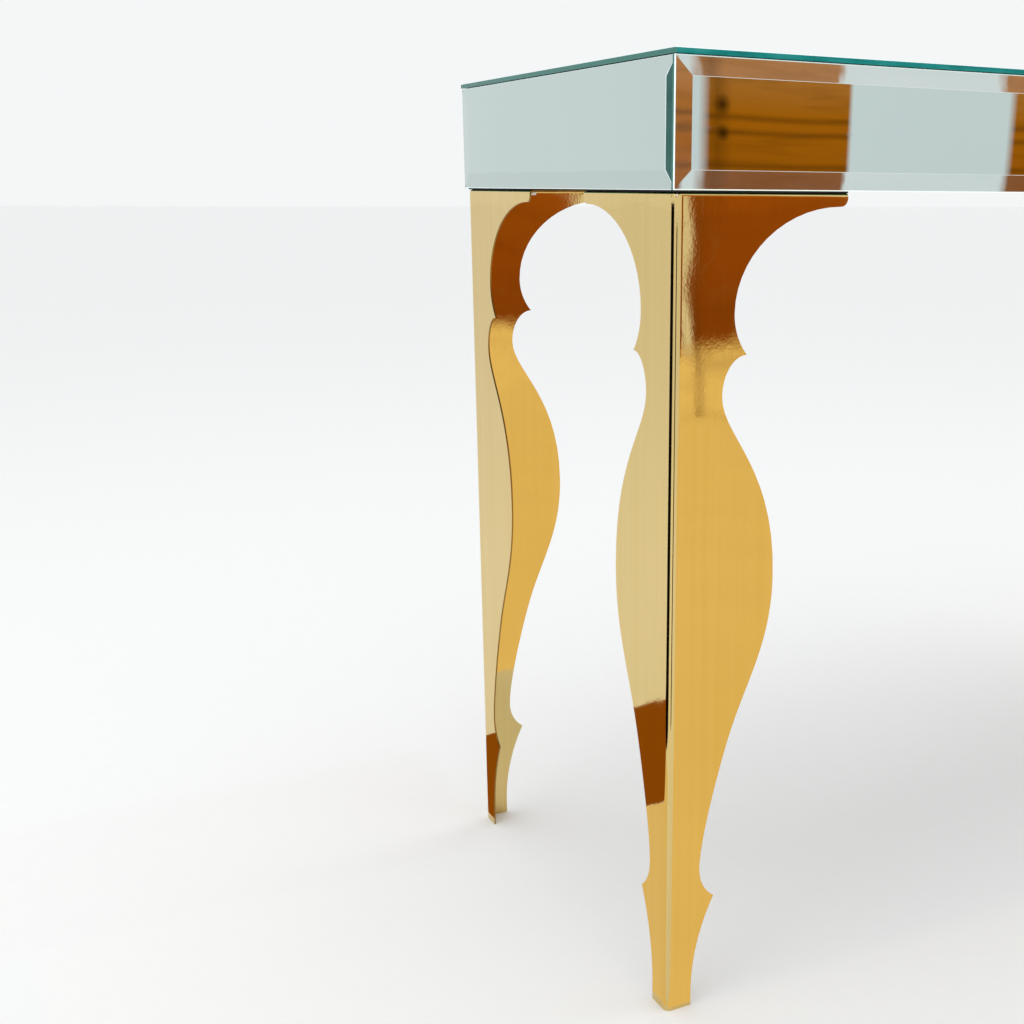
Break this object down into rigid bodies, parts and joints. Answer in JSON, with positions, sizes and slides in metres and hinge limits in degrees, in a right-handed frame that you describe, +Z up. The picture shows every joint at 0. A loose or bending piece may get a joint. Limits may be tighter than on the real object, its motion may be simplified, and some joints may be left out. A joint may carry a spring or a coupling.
{
  "type": "mirrored vanity table",
  "caption": "Shallow mirror-clad vanity or console table with bevelled panels and a glass top, on open folded gold sheet-metal legs with shaped edges.",
  "frame": {"origin": "centre of the footprint, on the floor under the four feet", "axes": "+X along the table to its right-hand end seen from the front, +Y to its back, +Z up"},
  "size_m": [1, 0.41, 0.75],
  "materials": {
    "top_glass": "silvered flat glass, green ground edge",
    "mirror": "silvered bevelled glass",
    "gold_sheet": "mirror polished, gold coloured",
    "black_pad": "matt black sheet",
    "adhesive": "soft mirror adhesive",
    "fibreboard": "raw fibreboard",
    "black_board": "satin black lacquer on fibreboard",
    "rail_wood": "planed softwood",
    "beech": "turned beech",
    "insert_brass": "turned",
    "screw_steel": "zinc plated",
    "black_screw": "black oxide"
  },
  "bodies": {
    "root": {"top_glass": "top_glass", "front_mirror": "mirror", "left_mirror": "mirror", "right_mirror": "mirror", "mirror_pads": "adhesive", "top_pads": "adhesive", "top_board": "fibreboard", "bottom_board": "black_board", "back_panel": "black_board", "leg_inserts": "insert_brass", "rail_dowels": "beech", "rail_screws": "screw_steel", "back_screws": "black_screw", "top_board_screws": "screw_steel", "bottom_board_screws": "screw_steel", "front_rail": "rail_wood", "back_rail": "rail_wood", "left_rail": "rail_wood", "right_rail": "rail_wood", "cross_rail_left": "rail_wood", "cross_rail_right": "rail_wood", "corner_block_front_left": "rail_wood", "leg_front_left": "gold_sheet", "leg_pad_front_left": "black_pad", "leg_screws_front_left": "screw_steel", "corner_block_front_right": "rail_wood", "leg_front_right": "gold_sheet", "leg_pad_front_right": "black_pad", "leg_screws_front_right": "screw_steel", "corner_block_back_left": "rail_wood", "leg_back_left": "gold_sheet", "leg_pad_back_left": "black_pad", "leg_screws_back_left": "screw_steel", "corner_block_back_right": "rail_wood", "leg_back_right": "gold_sheet", "leg_pad_back_right": "black_pad", "leg_screws_back_right": "screw_steel"}
  },
  "joints": []
}
